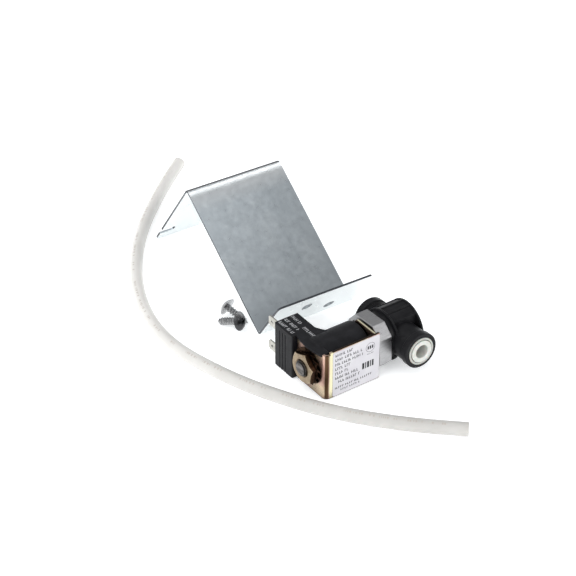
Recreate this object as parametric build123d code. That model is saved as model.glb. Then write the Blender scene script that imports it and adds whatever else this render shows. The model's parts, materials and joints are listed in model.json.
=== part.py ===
"""Direct-acting water solenoid valve kit: valve, mounting bracket, two bracket screws and a length of tube.

Millimetres, +Z up. The kit lies on the plane Z = 0 and its plan centre, without the tube, is the origin.
The valve is drawn about its stem axis: +X runs along the stem from the coil nut to the plastic body,
-Y points to the outlet port, +Y to the inlet port and the spade terminals.
"""

from build123d import *
from math import atan2, cos, degrees, radians, sin, sqrt, tan
import os

# ---- layout on the floor ------------------------------------------------------------------------
LAYOUT_CENTRE = (33.94, 76.14)      # plan centre, measured from the stem axis at the yoke's front face
STEM_HEIGHT = 15.9                  # stem axis above the floor, the radius of the body's rims
BODY_TURN = -2.5                    # the body is turned this much about the stem, outlet port upwards

# ---- yoke, label --------------------------------------------------------------------------------
YOKE_LENGTH = 37.5
YOKE_HEIGHT = 31.0
YOKE_SIDE = 15.3                    # stem axis to the outer face of the side that carries the label
YOKE_SHEET = 1.6
YOKE_BEND = 3.4                     # outer radius of the front bend
FRONT_PLATE_END = 11.7
FRONT_PLATE_TOP = 12.7              # above the stem axis; the coil's moulding covers the edge
BEND_TOP = 14.0
END_PLATE_X = 34.3
END_PLATE_CORNER = 9.2              # cut off the two corners away from the label
END_PLATE_TAB = (6.0, 8.5)          # height of each tab, and its height above and below the stem axis
LABEL_START = 5.0
LABEL_SHEET = 0.15

# ---- coil ---------------------------------------------------------------------------------------
COIL_RADIUS = 14.8
COIL_SIDE = 13.55                   # the coil is flat against the side of the yoke
COIL_FRONT = 2.6
COIL_BACK = 33.6
COIL_LIP_BACK = 34.1                # a narrower lip locates the coil on the end plate
COIL_LIP_RADIUS = 11.9
COIL_WALL = 0.9
BOBBIN_BORE_RADIUS = 5.45
BOBBIN_TUBE_RADIUS = 6.35
BOBBIN_FLANGE_RADIUS = 11.5
BOBBIN_FLANGE = 1.3
MOULDING_TOP = 13.6                 # flat top of the neck and the terminal block
FLANGE_BACK = 5.2                   # square flange at the front of the coil
BLOCK_FRONT = -3.2                  # terminal block
BLOCK_BACK = 12.7
BLOCK_NEAR = 12.1
BLOCK_FAR = 29.5
BLOCK_BOTTOM = -15.4
SPADE_WIDTH = 6.35
SPADE_SHEET = 0.8
SPADE_X = -0.8
SPADE_TIP = 38.2
SPADE_ROOT = 24.0
SPADE_LEVELS = (9.8, -7.1)
SPADE_HOLE_RADIUS = 0.9

# ---- stem ---------------------------------------------------------------------------------------
STUD_RADIUS = 4.75
STUD_TIP = -6.5
NUT_ACROSS_FLATS = 17.5
NUT_FRONT = -5.3
NUT_BACK = -2.4
WASHER_RADIUS = 11.0
WASHER_TEETH = 14
TUBE_OUTER_RADIUS = 5.25
TUBE_INNER_RADIUS = 4.95
CORE_BACK = 18.0
PLUNGER_RADIUS = 4.875
PLUNGER_FRONT = 20.0                # 2 mm from the fixed core: the plunger's travel
PLUNGER_BACK = 50.0
SEAL_RADIUS = 2.6
SEAT_X = 50.22
SPRING_RADIUS = 2.6                 # to the middle of the wire
SPRING_WIRE = 0.5
SPRING_POCKET = 9.6

# ---- bonnet block and body ----------------------------------------------------------------------
BONNET_SQUARE = 29.5
BONNET_CORNER = 6.7
BONNET_FRONT = 38.1
BODY_FRONT = 46.9                   # back face of the bonnet block, where the body starts
TUBE_FLANGE_RADIUS = 8.5
TUBE_FLANGE = 1.2
BONNET_SCREW_PITCH = 15.6           # square pattern
NECK_RADIUS = 14.1
RIM_RADIUS = 15.9
DRUM_RADIUS = 15.2
DRUM_FLAT = 9.6                     # half the width between the flats that the ports stand on
DRUM_FRONT = 51.0
DRUM_BACK = 69.3
RIM = 1.4
RIB_PITCH = 24.0                    # degrees between the ribs on the drum
CHAMBER_RADIUS = 5.2
CHAMBER_FLOOR = 54.0
BOSS_SPACING = 23.2                 # the two screw holes in the back of the body

# ---- ports --------------------------------------------------------------------------------------
PORT_X = 58.3
OUTLET_REACH = 26.7                 # stem axis to the outlet port's face
INLET_REACH = 21.6
PORT_RADIUS = 10.2
PORT_RIM_RADIUS = 10.9
CARTRIDGE_RADIUS = 8.45
COLLET_FLANGE_RADIUS = 6.9
COLLET_SLEEVE_RADIUS = 4.92
COLLET_PROUD = 1.1                  # face of the collet in front of the port's face
BORE_RADIUS = 4.1                   # takes tube of 5/16 in, 7.94 mm
TUBE_STOP = 15.0                    # depth of the shoulder that the tube comes up against

# ---- bracket ------------------------------------------------------------------------------------
BRACKET_PLACE = (5.7, 58.3)         # near bottom corner, from the stem axis at the yoke's front face
BRACKET_YAW = -2.45
BRACKET_WIDTH = 65.0
BRACKET_SHEET = 1.2
BRACKET_BEND = 1.6                  # radius at the middle of the sheet
LONG_FLANGE = 70.0
PANEL = 98.4
SHORT_FLANGE = 37.6
FLANGE_CORNER = 2.0
RIDGE_ANGLE = 91.0
HOLE_RADIUS = 3.55
HOLE_PLACES = ((24.3, 23.2), (44.1, 11.2))   # along the width, up the short flange
SLOT_DEPTH = 10.0
SLOT_WIDTH = 5.0
SLOT_LEVEL = 11.0                   # above the free edge of the long flange

# ---- bracket screws -----------------------------------------------------------------------------
SCREW_LENGTH = 15.9                 # under the head, 5/8 in
SCREW_THREAD_RADIUS = 2.4
SCREW_ROOT_RADIUS = 1.75
SCREW_PITCH = 1.8
SCREW_HEAD_RADIUS = 5.8
SCREW_HEAD = 3.1
SCREW_PLACES = (((-1.0, 68.7), 116.0), ((1.3, 84.6), -72.5))   # under the head, heading of the tip

# ---- tube ---------------------------------------------------------------------------------------
HOSE_RADIUS = 3.97
HOSE_BORE_RADIUS = 3.0
HOSE_HEIGHT = 4.0
HOSE_ROUTE = [
    (69.0, 244.0), (48.0, 227.5), (27.0, 209.0), (6.5, 189.0), (-12.5, 165.5), (-28.0, 140.5),
    (-38.5, 115.5), (-43.8, 92.5), (-44.2, 70.0), (-40.0, 48.0), (-32.0, 22.0), (-21.3, -2.0),
    (-9.0, -24.0), (5.0, -43.0), (20.0, -60.0), (34.0, -73.5), (46.5, -84.7),
]

ON_FLOOR = Location((-LAYOUT_CENTRE[0], -LAYOUT_CENTRE[1], 0))
VALVE = ON_FLOOR * Location((0, 0, STEM_HEIGHT))
BODY = VALVE * Rot(X=BODY_TURN)


def rod(radius, start, end):
    """A cylinder about the stem axis from x = start to x = end."""
    return Pos(start, 0, 0) * Rot(Y=90) * Cylinder(
        radius, end - start, align=(Align.CENTER, Align.CENTER, Align.MIN)
    )


def block(x0, x1, y0, y1, z0, z1):
    """A box between two corners."""
    return Pos(x0, y0, z0) * Box(x1 - x0, y1 - y0, z1 - z0, align=(Align.MIN, Align.MIN, Align.MIN))


def round_edges(shape, axis, radius, pick=lambda edge: True):
    """Rounds the straight edges of a shape that run along one axis."""
    edges = [e for e in shape.edges().filter_by(axis) if pick(e)]
    return fillet(edges, radius)


# ---- yoke and label -----------------------------------------------------------------------------
def yoke():
    """The front plate and the side that carries the label, bent from one strip."""
    half = YOKE_HEIGHT / 2
    outer = block(0, YOKE_LENGTH, -YOKE_SIDE, FRONT_PLATE_END, -half, half)
    inner = block(
        YOKE_SHEET, YOKE_LENGTH + 1, YOKE_SHEET - YOKE_SIDE, FRONT_PLATE_END + 1, -half - 1, half + 1
    )
    outer = round_edges(outer, Axis.Z, YOKE_BEND, lambda e: e.center().X < 1 and e.center().Y < 0)
    inner = round_edges(
        inner, Axis.Z, YOKE_BEND - YOKE_SHEET, lambda e: e.center().X < 3 and e.center().Y < 0
    )
    frame = outer - inner - rod(STUD_RADIUS + 0.1, -1, YOKE_SHEET + 1)
    frame -= block(-1, YOKE_BEND, YOKE_BEND - YOKE_SIDE, FRONT_PLATE_END + 1, FRONT_PLATE_TOP, half + 1)
    frame -= block(-1, YOKE_BEND, -YOKE_SIDE - 1, YOKE_BEND - YOKE_SIDE, BEND_TOP, half + 1)
    tab, level = END_PLATE_TAB
    for z in (level, -level):
        frame -= block(
            END_PLATE_X - 0.05, END_PLATE_X + YOKE_SHEET + 0.05, -YOKE_SIDE - 1, -YOKE_SIDE + 2,
            z - tab / 2 - 0.05, z + tab / 2 + 0.05,
        )
    return frame


def yoke_end_plate():
    """The flat plate behind the coil, held in the yoke by two tabs."""
    half = YOKE_HEIGHT / 2
    plate = block(
        END_PLATE_X, END_PLATE_X + YOKE_SHEET, YOKE_SHEET - YOKE_SIDE, FRONT_PLATE_END, -half, half
    )
    far_corners = [e for e in plate.edges().filter_by(Axis.X) if e.center().Y > 0]
    plate = chamfer(far_corners, END_PLATE_CORNER)
    tab, level = END_PLATE_TAB
    for z in (level, -level):
        plate += block(
            END_PLATE_X, END_PLATE_X + YOKE_SHEET, -YOKE_SIDE, YOKE_SHEET - YOKE_SIDE + 0.5,
            z - tab / 2, z + tab / 2,
        )
    return plate - rod(TUBE_OUTER_RADIUS + 0.15, END_PLATE_X - 1, END_PLATE_X + 3)


def label():
    """The rating label, stuck to the side of the yoke."""
    half = YOKE_HEIGHT / 2 - 0.35
    sheet = block(
        LABEL_START, YOKE_LENGTH - 0.1, -YOKE_SIDE - LABEL_SHEET, -YOKE_SIDE, -half, half
    )
    return round_edges(sheet, Axis.Y, 1.2)


# ---- coil ---------------------------------------------------------------------------------------
def coil_encapsulation():
    """The black moulding: coil, front flange, neck and terminal block, with pockets for what it holds."""
    with BuildSketch() as plan:
        with BuildLine():
            corner = (BLOCK_BACK, BLOCK_FAR)
            waist = (BLOCK_BACK - 1.6, 19.5)
            root = (21.0, 2.5)
            ThreePointArc(corner, waist, root)
            Polyline(root, (21.0, 0), (COIL_FRONT, 0), (COIL_FRONT, BLOCK_FAR), corner)
        make_face()
    bridge = Pos(0, 0, BLOCK_BOTTOM) * extrude(plan.sketch, MOULDING_TOP - BLOCK_BOTTOM)
    bridge -= block(0, YOKE_LENGTH, -1, BLOCK_NEAR + 1, BLOCK_BOTTOM - 1, 0)
    terminals = block(BLOCK_FRONT, BLOCK_BACK, BLOCK_NEAR, BLOCK_FAR, BLOCK_BOTTOM, MOULDING_TOP)
    terminals = round_edges(terminals, Axis.Z, 0.8, lambda e: e.center().X < 0)
    for y in (18.4, 21.0, 23.8):
        terminals -= block(
            BLOCK_FRONT - 1, BLOCK_FRONT + 0.25, y, y + 0.8, BLOCK_BOTTOM - 1, MOULDING_TOP - 2.6
        )
    coil = rod(COIL_RADIUS, COIL_FRONT, COIL_BACK)
    for end, radius in ((0, 2.0), (-1, 0.8)):
        coil = fillet(coil.edges().filter_by(GeomType.CIRCLE).sort_by(Axis.X)[end], radius)
    coil &= block(0, YOKE_LENGTH, -COIL_SIDE, COIL_RADIUS, -COIL_RADIUS, COIL_RADIUS)
    near = YOKE_BEND - YOKE_SIDE + 0.1
    flange = block(COIL_FRONT, FLANGE_BACK, near, BLOCK_NEAR, -MOULDING_TOP, MOULDING_TOP)
    with BuildSketch() as brim:
        with BuildLine():
            ThreePointArc((-0.5, near), (-1.9, -2.5), (-0.2, BLOCK_NEAR + 1))
            Polyline((-0.2, BLOCK_NEAR + 1), (FLANGE_BACK, BLOCK_NEAR + 1), (FLANGE_BACK, near), (-0.5, near))
        make_face()
    lip_floor = FRONT_PLATE_TOP + 0.05
    lip = Pos(0, 0, lip_floor) * extrude(brim.sketch, MOULDING_TOP - lip_floor)
    moulding = terminals + bridge + coil + flange + lip + rod(COIL_LIP_RADIUS, COIL_BACK, COIL_LIP_BACK)
    moulding -= rod(BOBBIN_FLANGE_RADIUS, COIL_FRONT + COIL_WALL, COIL_BACK)
    moulding -= rod(BOBBIN_BORE_RADIUS, COIL_FRONT - 1, COIL_LIP_BACK + 1)
    for level in SPADE_LEVELS:
        moulding -= spade(level, root_only=True)
    return moulding


def coil_bobbin():
    """The plastic spool inside the coil."""
    start, end = COIL_FRONT + COIL_WALL, COIL_BACK
    spool = rod(BOBBIN_TUBE_RADIUS, start, end)
    spool += rod(BOBBIN_FLANGE_RADIUS, start, start + BOBBIN_FLANGE)
    spool += rod(BOBBIN_FLANGE_RADIUS, end - BOBBIN_FLANGE, end)
    return spool - rod(BOBBIN_BORE_RADIUS, start - 1, end + 1)


def coil_winding():
    """The copper winding, as one solid ring between the bobbin's flanges."""
    start, end = COIL_FRONT + COIL_WALL + BOBBIN_FLANGE, COIL_BACK - BOBBIN_FLANGE
    return rod(BOBBIN_FLANGE_RADIUS, start, end) - rod(BOBBIN_TUBE_RADIUS, start - 1, end + 1)


def spade(level, root_only=False):
    """A 1/4 in blade terminal with a bevelled tip and a latching hole."""
    half = SPADE_WIDTH / 2
    tip = BLOCK_FAR if root_only else SPADE_TIP
    blade = block(
        SPADE_X - SPADE_SHEET / 2, SPADE_X + SPADE_SHEET / 2, SPADE_ROOT, tip, level - half, level + half
    )
    if root_only:
        return blade
    tip_edges = [e for e in blade.edges().filter_by(Axis.X) if e.center().Y > tip - 0.1]
    blade = chamfer(tip_edges, 1.1)
    hole = Pos(SPADE_X, SPADE_TIP - 3.4, level) * Rot(Y=90) * Cylinder(SPADE_HOLE_RADIUS, 3)
    return blade - hole


# ---- stem ---------------------------------------------------------------------------------------
def fixed_core():
    """The core and its threaded stud, with a groove for the shading ring in its back face."""
    stud = rod(STUD_RADIUS, STUD_TIP, YOKE_SHEET + 0.2)
    tip = [e for e in stud.edges().filter_by(GeomType.CIRCLE) if e.center().X < STUD_TIP + 0.1]
    stud = chamfer(tip, 0.7)
    core = stud + rod(TUBE_INNER_RADIUS - 0.03, YOKE_SHEET + 0.2, CORE_BACK)
    return core - (rod(4.3, CORE_BACK - 0.9, CORE_BACK + 1) - rod(3.5, CORE_BACK - 1, CORE_BACK + 2))


def shading_ring():
    """The copper ring that stops the plunger buzzing on alternating current."""
    return rod(4.3, CORE_BACK - 0.9, CORE_BACK) - rod(3.5, CORE_BACK - 1, CORE_BACK + 1)


def coil_nut():
    """The thin hexagon nut that clamps the coil, chamfered on its outer face."""
    corner_radius = NUT_ACROSS_FLATS / sqrt(3)
    hexagon = extrude(RegularPolygon(corner_radius, 6, rotation=12), NUT_BACK - NUT_FRONT)
    nut = Pos(NUT_FRONT, 0, 0) * Rot(Y=90) * hexagon
    inscribed = NUT_ACROSS_FLATS / 2
    cone = Pos(NUT_FRONT, 0, 0) * Rot(Y=90) * Cone(
        inscribed + 0.1, inscribed + 9.1, 5.2, align=(Align.CENTER, Align.CENTER, Align.MIN)
    )
    nut = nut & cone
    nut -= rod(STUD_RADIUS + 0.05, NUT_FRONT - 1, NUT_BACK + 1)
    countersink = Pos(NUT_FRONT, 0, 0) * Rot(Y=90) * Cone(
        STUD_RADIUS + 1.0, STUD_RADIUS + 0.05, 0.95, align=(Align.CENTER, Align.CENTER, Align.MIN)
    )
    return nut - countersink


def lock_washer():
    """The external-tooth lock washer, each tooth twisted out of the ring."""
    middle = NUT_BACK / 2
    washer = rod(WASHER_RADIUS - 1.9, middle - 0.5, middle + 0.5)
    washer -= rod(STUD_RADIUS + 0.15, -3, 1)
    tooth = Pos(0, 0, WASHER_RADIUS - 1.3) * Rot(Z=35) * Box(0.7, 2.9, 2.6)
    for i in range(WASHER_TEETH):
        washer += Pos(middle, 0, 0) * Rot(X=360 / WASHER_TEETH * i) * tooth
    return washer


def guide_tube():
    """The stainless tube that the plunger slides in, with the flange that seals it to the body."""
    tube = rod(TUBE_OUTER_RADIUS, YOKE_SHEET + 0.2, BODY_FRONT)
    tube += rod(TUBE_FLANGE_RADIUS, BODY_FRONT - TUBE_FLANGE, BODY_FRONT)
    return tube - rod(TUBE_INNER_RADIUS, 0, BODY_FRONT + 1)


def plunger():
    """The moving core, bored at the front for its spring and at the back for its seal."""
    core = rod(PLUNGER_RADIUS, PLUNGER_FRONT, PLUNGER_BACK)
    core = chamfer(core.edges().filter_by(GeomType.CIRCLE), 0.3)
    core -= rod(SPRING_RADIUS + SPRING_WIRE / 2 + 0.3, PLUNGER_FRONT - 1, PLUNGER_FRONT + SPRING_POCKET)
    return core - rod(SEAL_RADIUS, PLUNGER_BACK - 1.2, PLUNGER_BACK + 1)


def plunger_seal():
    """The rubber disc that closes the seat."""
    return rod(SEAL_RADIUS, PLUNGER_BACK - 1.2, SEAT_X - 0.02)


def plunger_spring():
    """The coil spring between the fixed core and the bottom of the plunger's pocket."""
    start = CORE_BACK + SPRING_WIRE / 2
    length = PLUNGER_FRONT + SPRING_POCKET - CORE_BACK - SPRING_WIRE
    helix = Helix(pitch=length / 7, height=length, radius=SPRING_RADIUS)
    profile = Plane(origin=helix @ 0, z_dir=helix % 0) * Circle(SPRING_WIRE / 2)
    return Pos(start, 0, 0) * Rot(Y=90) * sweep(profile, path=helix, is_frenet=True)


def stem_o_ring():
    """The ring that seals the guide tube's flange to the body."""
    return Pos(BODY_FRONT + 0.85, 0, 0) * Rot(Y=90) * Torus(7.0, 0.85)


def yoke_washer():
    """The black insulating washer between the yoke and the bonnet block."""
    start, end = END_PLATE_X + YOKE_SHEET, BONNET_FRONT
    return rod(11.0, start, end) - rod(TUBE_OUTER_RADIUS + 0.15, start - 1, end + 1)


# ---- bonnet block and body ----------------------------------------------------------------------
def bonnet_screw_places():
    """The four screws in the corners of the bonnet block."""
    half = BONNET_SCREW_PITCH / 2
    return [Location((0, y, z)) for y in (half, -half) for z in (half, -half)]


def bonnet_block():
    """The brushed metal block with its corners cut off."""
    half = BONNET_SQUARE / 2
    body = block(BONNET_FRONT, BODY_FRONT, -half, half, -half, half)
    body = chamfer(body.edges().filter_by(Axis.X), BONNET_CORNER)
    body = chamfer(body.faces().sort_by(Axis.X)[-1].edges() + body.faces().sort_by(Axis.X)[0].edges(), 0.25)
    body -= rod(TUBE_OUTER_RADIUS + 0.1, BONNET_FRONT - 1, BODY_FRONT + 1)
    body -= rod(TUBE_FLANGE_RADIUS + 0.1, BODY_FRONT - TUBE_FLANGE, BODY_FRONT + 1)
    for place in bonnet_screw_places():
        body -= place * rod(1.7, BONNET_FRONT - 1, BODY_FRONT + 1)
        body -= place * rod(2.9, BONNET_FRONT - 1, BONNET_FRONT + 2.6)
    return body


def bonnet_screws():
    """Four pan-head screws from the bonnet block into the body, heads below its face."""
    screws = []
    for place in bonnet_screw_places():
        head = rod(2.7, BONNET_FRONT + 0.5, BONNET_FRONT + 2.6)
        shank = rod(1.5, BONNET_FRONT + 2.6, BODY_FRONT + 8.0)
        slot = block(BONNET_FRONT, BONNET_FRONT + 1.3, -3, 3, -0.35, 0.35)
        screws.append(place * (head + shank - slot))
    return screws


def port_solid(direction, reach):
    """One port's barrel with its rim; direction is -1 for the outlet and 1 for the inlet."""
    face = direction * reach
    barrel = port_rod(PORT_RADIUS, 0, face)
    rim = port_rod(PORT_RIM_RADIUS, face - direction * 4.6, face)
    outer = [e for e in rim.edges().filter_by(GeomType.CIRCLE)]
    return barrel + fillet(outer, 0.5)


def port_rod(radius, y0, y1):
    """A cylinder about the ports' axis between two values of y."""
    low, high = min(y0, y1), max(y0, y1)
    return Pos(PORT_X, low, 0) * Rot(X=-90) * Cylinder(
        radius, high - low, align=(Align.CENTER, Align.CENTER, Align.MIN)
    )


def port_cavity(direction, reach):
    """What is bored out of one port: cartridge, seal and tube bores."""
    face = direction * reach

    def at(depth):
        return face - direction * depth

    cavity = port_rod(CARTRIDGE_RADIUS + 0.02, at(-1), at(8.9))
    cavity += port_rod(6.6, at(8.8), at(11.8))
    return cavity + port_rod(BORE_RADIUS, at(11.7), at(TUBE_STOP))


def valve_body():
    """The black plastic body: neck, ribbed drum with flats between two rims, and a port each side."""
    drum = rod(DRUM_RADIUS, DRUM_FRONT, DRUM_BACK)
    rib = Pos(0, 0, DRUM_RADIUS - 0.6) * block(DRUM_FRONT + 0.5, DRUM_BACK - 0.5, -0.7, 0.7, 0, 1.2)
    for i in range(int(360 / RIB_PITCH)):
        drum += Rot(X=RIB_PITCH * (i + 0.5)) * rib
    drum &= block(DRUM_FRONT, DRUM_BACK, -DRUM_FLAT, DRUM_FLAT, -RIM_RADIUS, RIM_RADIUS)
    drum += rod(NECK_RADIUS, BODY_FRONT, DRUM_FRONT + 1)
    for start in (DRUM_FRONT, DRUM_BACK - RIM):
        rim = rod(RIM_RADIUS, start, start + RIM)
        drum += fillet(rim.edges().filter_by(GeomType.CIRCLE), 0.4)
    ports = ((-1, OUTLET_REACH), (1, INLET_REACH))
    for direction, reach in ports:
        drum += port_solid(direction, reach)
    for groove in range(4):
        y = INLET_REACH - 5.7 - 1.2 * groove
        drum -= port_rod(PORT_RADIUS + 1, y, y + 0.5) - port_rod(PORT_RADIUS - 0.35, y - 1, y + 1)
    for direction, reach in ports:
        drum -= port_cavity(direction, reach)
    drum -= rod(CHAMBER_RADIUS, BODY_FRONT - 1, CHAMBER_FLOOR) - rod(2.2, SEAT_X, CHAMBER_FLOOR)
    drum -= rod(8.1, BODY_FRONT - 1, BODY_FRONT + 1.7) - rod(6.0, BODY_FRONT - 1, BODY_FRONT + 2)
    drum -= rod(1.1, SEAT_X - 1, PORT_X + 1.2)
    drum -= port_rod(1.5, 0, -OUTLET_REACH + TUBE_STOP - 0.5)
    drum -= Pos(0, 3.7, 0) * rod(1.2, CHAMBER_FLOOR - 1, PORT_X + 1.2)
    drum -= port_rod(3.6, 3.3, INLET_REACH - TUBE_STOP + 0.1)
    for place in bonnet_screw_places():
        drum -= place * rod(1.5, BODY_FRONT - 1, BODY_FRONT + 9)
    for z in (1, -1):
        drum -= Pos(0, 0, z * BOSS_SPACING / 2) * rod(1.9, DRUM_BACK - 11, DRUM_BACK + 1)
    return drum


# ---- port fittings, drawn on the port's axis with +Y out of the port and y = 0 at its face ------
def at_port(direction, reach, shape):
    """Moves a fitting from its drawing position to its port."""
    turned = shape if direction > 0 else Rot(Z=180) * shape
    return Pos(PORT_X, direction * reach, 0) * turned


def ring(outer, inner, depth_start, depth_end):
    """A ring about the port's axis between two depths below its face."""
    shape = Cylinder(outer, depth_end - depth_start) - Cylinder(inner, depth_end - depth_start + 1)
    return Pos(0, -(depth_start + depth_end) / 2, 0) * Rot(X=90) * shape


def port_cartridge():
    """The fixed white ring that holds the collet."""
    body = ring(CARTRIDGE_RADIUS, 5.0, -0.6, 8.0) - ring(7.2, 0, -1.6, 2.2)
    lip = [e for e in body.edges().filter_by(GeomType.CIRCLE) if e.center().Y > 0.5]
    return fillet(lip, 0.3)


def port_collet():
    """The white release collet: a flange to press and a sleeve, bored for the tube."""
    collet = ring(COLLET_FLANGE_RADIUS, BORE_RADIUS, -COLLET_PROUD, 0.5)
    collet = fillet([e for e in collet.edges().filter_by(GeomType.CIRCLE) if e.center().Y > 1.0], 0.45)
    return collet + ring(COLLET_SLEEVE_RADIUS, BORE_RADIUS, 0.4, 6.6)


def port_grab_ring():
    """The stainless ring whose teeth hold the tube."""
    body = ring(8.0, BORE_RADIUS + 0.05, 8.2, 8.55)
    for i in range(12):
        body -= Rot(Y=30 * i) * (Pos(0, -8.4, 5.2) * Box(0.6, 1, 3.2))
    return body


def port_o_ring():
    """The seal that the tube pushes through."""
    return Pos(0, -10.4, 0) * Rot(X=90) * Torus(5.32, 1.2)


def inlet_screen():
    """The cup-shaped filter screen behind the inlet's tube stop."""
    cup = ring(3.5, 3.2, TUBE_STOP + 0.1, TUBE_STOP + 3.0) + ring(3.5, 0, TUBE_STOP + 2.7, TUBE_STOP + 3.0)
    return cup


# ---- bracket ------------------------------------------------------------------------------------
def bracket_corners():
    """The profile's corners as (back, up) from the bottom bend: free edge, ridge, bend, free edge."""
    fold = radians(RIDGE_ANGLE)
    span = sqrt(LONG_FLANGE**2 + PANEL**2 - 2 * LONG_FLANGE * PANEL * cos(fold))
    slope = atan2(LONG_FLANGE * sin(fold), PANEL - LONG_FLANGE * cos(fold))
    ridge = (PANEL * cos(slope), PANEL * sin(slope))
    short = (-SHORT_FLANGE * sin(slope), SHORT_FLANGE * cos(slope))
    return (span, 0), ridge, (0, 0), short


def mounting_bracket():
    """The zinc-plated Z-shaped bracket, standing on its bottom bend and the edge of its long flange."""
    free, ridge, bend, short = bracket_corners()
    path = FilletPolyline(free, ridge, bend, short, radius=BRACKET_BEND)
    sheet = extrude(Plane.YZ * trace(path, BRACKET_SHEET), BRACKET_WIDTH)
    corners = [e for e in sheet.edges().filter_by(GeomType.LINE) if abs(e.length - BRACKET_SHEET) < 0.01]
    sheet = fillet(corners, FLANGE_CORNER)
    up = Vector(0, short[0], short[1]).normalized()
    for along, height in HOLE_PLACES:
        centre = Vector(along, 0, 0) + up * height
        place = Plane(centre, x_dir=(1, 0, 0), z_dir=up.cross(Vector(1, 0, 0)))
        sheet -= place * Cylinder(HOLE_RADIUS, 8)
    rise = Vector(0, ridge[0] - free[0], ridge[1] - free[1]).normalized()
    for edge in (0, BRACKET_WIDTH):
        origin = Vector(edge, free[0], free[1]) + rise * SLOT_LEVEL
        place = Plane(origin, x_dir=(1, 0, 0), z_dir=rise.cross(Vector(1, 0, 0)))
        sheet -= place * Box(2 * (SLOT_DEPTH - SLOT_WIDTH / 2), SLOT_WIDTH, 8)
        inward = SLOT_DEPTH - SLOT_WIDTH / 2 if edge == 0 else SLOT_WIDTH / 2 - SLOT_DEPTH
        sheet -= place * Pos(inward, 0, 0) * Cylinder(SLOT_WIDTH / 2, 8)
    sheet = Pos(0, 0, -sheet.bounding_box().min.Z) * sheet
    return ON_FLOOR * Location((*BRACKET_PLACE, 0), (0, 0, BRACKET_YAW)) * sheet


# ---- bracket screws -----------------------------------------------------------------------------
def bracket_screw():
    """A truss-head thread-forming screw along +X, the underside of its head at x = 0."""
    dome_radius = (SCREW_HEAD_RADIUS**2 + SCREW_HEAD**2) / (2 * SCREW_HEAD)
    dome = Pos(dome_radius - SCREW_HEAD, 0, 0) * Sphere(dome_radius)
    head = dome & rod(SCREW_HEAD_RADIUS, -SCREW_HEAD, 0)
    recess = Pos(-SCREW_HEAD, 0, 0) * (Box(3.2, 4.6, 1.0) + Box(3.2, 1.0, 4.6))
    shank = rod(SCREW_ROOT_RADIUS, 0, SCREW_LENGTH - 3.0)
    taper = Pos(SCREW_LENGTH - 3.0, 0, 0) * Rot(Y=90) * Cone(
        SCREW_ROOT_RADIUS, 0.3, 3.0, align=(Align.CENTER, Align.CENTER, Align.MIN)
    )
    screw = head - recess + shank + taper
    turns = int((SCREW_LENGTH - 3.4) / SCREW_PITCH)
    root, crest = SCREW_ROOT_RADIUS, SCREW_THREAD_RADIUS
    for i in range(turns):
        x = 1.2 + SCREW_PITCH * i
        for start, near, far in ((x, root, crest), (x + 0.5, crest, root)):
            screw += Pos(start, 0, 0) * Rot(Y=90) * Cone(
                near, far, 0.5, align=(Align.CENTER, Align.CENTER, Align.MIN)
            )
    return screw


def bracket_screws():
    """The two loose screws, each lying on the rim of its head and its tip."""
    dip = degrees(atan2(SCREW_HEAD_RADIUS - 0.3, SCREW_LENGTH))
    screws = []
    for (x, y), heading in SCREW_PLACES:
        screw = Rot(Z=heading) * Rot(Y=dip) * bracket_screw()
        lift = -screw.bounding_box().min.Z
        screws.append(ON_FLOOR * Pos(x, y, lift) * screw)
    return screws


# ---- tube ---------------------------------------------------------------------------------------
def water_tube():
    """The loose length of tube: straight runs joined by arcs as large as the runs allow."""
    points = [Vector(x, y, HOSE_HEIGHT) for x, y in HOSE_ROUTE]
    runs = [b - a for a, b in zip(points, points[1:])]
    radii = []
    for before, after in zip(runs, runs[1:]):
        turn = before.get_angle(after)
        radii.append(0.45 * min(before.length, after.length) / tan(radians(turn / 2)))
    path = FilletPolyline(*points, radius=radii)
    section = Circle(HOSE_RADIUS) - Circle(HOSE_BORE_RADIUS)
    return ON_FLOOR * sweep(Plane(origin=path @ 0, z_dir=path % 0) * section, path=path)


def write(name, *shapes):
    """Writes one node's solids to its own file."""
    solids = [solid for shape in shapes for solid in shape.solids()]
    export_step(solids[0] if len(solids) == 1 else Compound(children=solids), f"parts/{name}.step")


os.makedirs("parts", exist_ok=True)
COIL_AND_STEM = (
    yoke, yoke_end_plate, label, coil_encapsulation, coil_bobbin, coil_winding, fixed_core, shading_ring,
    coil_nut, lock_washer, guide_tube, plunger, plunger_seal, plunger_spring, yoke_washer,
)
for make in COIL_AND_STEM:
    write(make.__name__, VALVE * make())
for name, level in zip(("upper_spade_terminal", "lower_spade_terminal"), SPADE_LEVELS):
    write(name, VALVE * spade(level))
write("stem_o_ring", BODY * stem_o_ring())
write("bonnet_block", BODY * bonnet_block())
write("bonnet_screws", *[BODY * screw for screw in bonnet_screws()])
write("valve_body", BODY * valve_body())
for port, direction, reach in (("outlet", -1, OUTLET_REACH), ("inlet", 1, INLET_REACH)):
    for piece, make in (
        ("cartridge", port_cartridge), ("collet", port_collet),
        ("grab_ring", port_grab_ring), ("o_ring", port_o_ring),
    ):
        write(f"{port}_{piece}", BODY * at_port(direction, reach, make()))
write("inlet_screen", BODY * at_port(1, INLET_REACH, inlet_screen()))
write("mounting_bracket", mounting_bracket())
write("bracket_screws", *bracket_screws())
write("water_tube", water_tube())
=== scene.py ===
"""Looks of the solenoid valve kit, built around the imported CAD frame. Metres, +Z up."""

import json
import random
from math import atan2, ceil, cos, pi, radians, sin

import bmesh
import bpy
from mathutils import Matrix, Vector


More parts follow.
